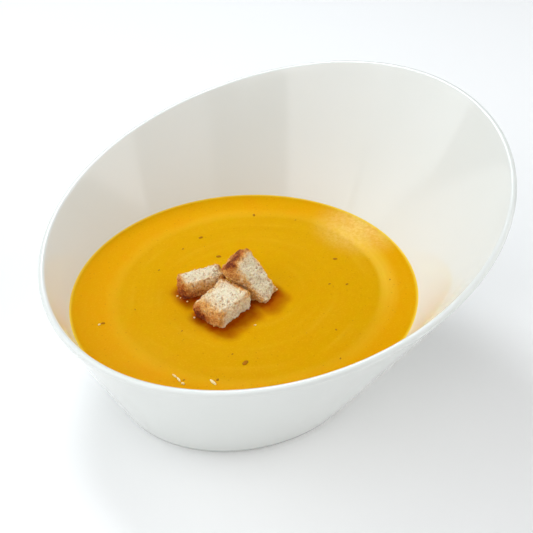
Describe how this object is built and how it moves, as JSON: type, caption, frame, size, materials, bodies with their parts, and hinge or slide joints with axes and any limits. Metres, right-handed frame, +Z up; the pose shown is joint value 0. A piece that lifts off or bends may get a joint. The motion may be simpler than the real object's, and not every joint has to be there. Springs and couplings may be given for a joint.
{
  "type": "bowl of squash soup",
  "caption": "Slanted white porcelain bowl filled with smooth golden squash soup, topped with toasted bread croutons; free-standing on a flat oval foot.",
  "frame": {"origin": "on the table, under the middle of the whole bowl", "axes": "+Z up; +X from the low side of the rim to the high side; +Y across the slant, to the left when looking towards the high side"},
  "size_m": [0.2008, 0.194, 0.1105],
  "materials": {
    "porcelain": "white glossy glaze",
    "soup": "smooth thick soup, softly glossy, golden yellow",
    "bread": "toasted crumb, matte, pale with browned edges"
  },
  "bodies": {
    "root": {"bowl": "porcelain", "soup": "soup", "crouton_front": "bread", "crouton_left": "bread", "crouton_back": "bread"}
  },
  "joints": []
}
